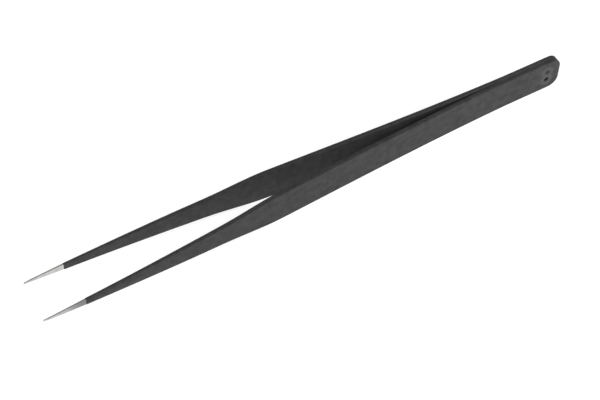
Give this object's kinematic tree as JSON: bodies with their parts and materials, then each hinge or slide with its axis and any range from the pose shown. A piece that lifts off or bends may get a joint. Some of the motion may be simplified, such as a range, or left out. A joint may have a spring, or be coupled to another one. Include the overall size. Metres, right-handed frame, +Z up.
{
  "type": "precision tweezers",
  "caption": "Straight fine-point tweezers: springy steel arms welded at the heel, in a dark epoxy coating with bare ground points.",
  "frame": {"origin": "on the surface that the tweezers lie on, under the middle of their outline seen from above", "axes": "+X from the points to the welded heel, Y across the opening with the left arm at -Y, +Z up across the width of the arms"},
  "size_m": [0.14, 0.0116, 0.0095],
  "materials": {
    "bare_steel": "stainless steel, finely ground along the points",
    "weld_steel": "fused steel of the spot welds, hidden between the arms",
    "epoxy_coating": "semi-matte charcoal antistatic epoxy, finely textured"
  },
  "bodies": {
    "heel": {"left_heel": "bare_steel", "right_heel": "bare_steel", "spot_welds": "weld_steel", "heel_coating": "epoxy_coating"},
    "left_arm": {"left_blade": "bare_steel", "left_blade_coating": "epoxy_coating"},
    "right_arm": {"right_blade": "bare_steel", "right_blade_coating": "epoxy_coating"}
  },
  "joints": [
    {"name": "left_arm_bend", "type": "hinge", "parent": "heel", "child": "left_arm", "pos_m": [0.032, -0.00122, 0.00476], "axis": [0, 0, -1], "range_deg": [-1.5, 3.02], "stiffness_Nm_per_rad": 3},
    {"name": "right_arm_bend", "type": "hinge", "parent": "heel", "child": "right_arm", "pos_m": [0.032, 0.00122, 0.00476], "axis": [0, 0, 1], "range_deg": [-1.5, 3.02], "stiffness_Nm_per_rad": 3}
  ]
}
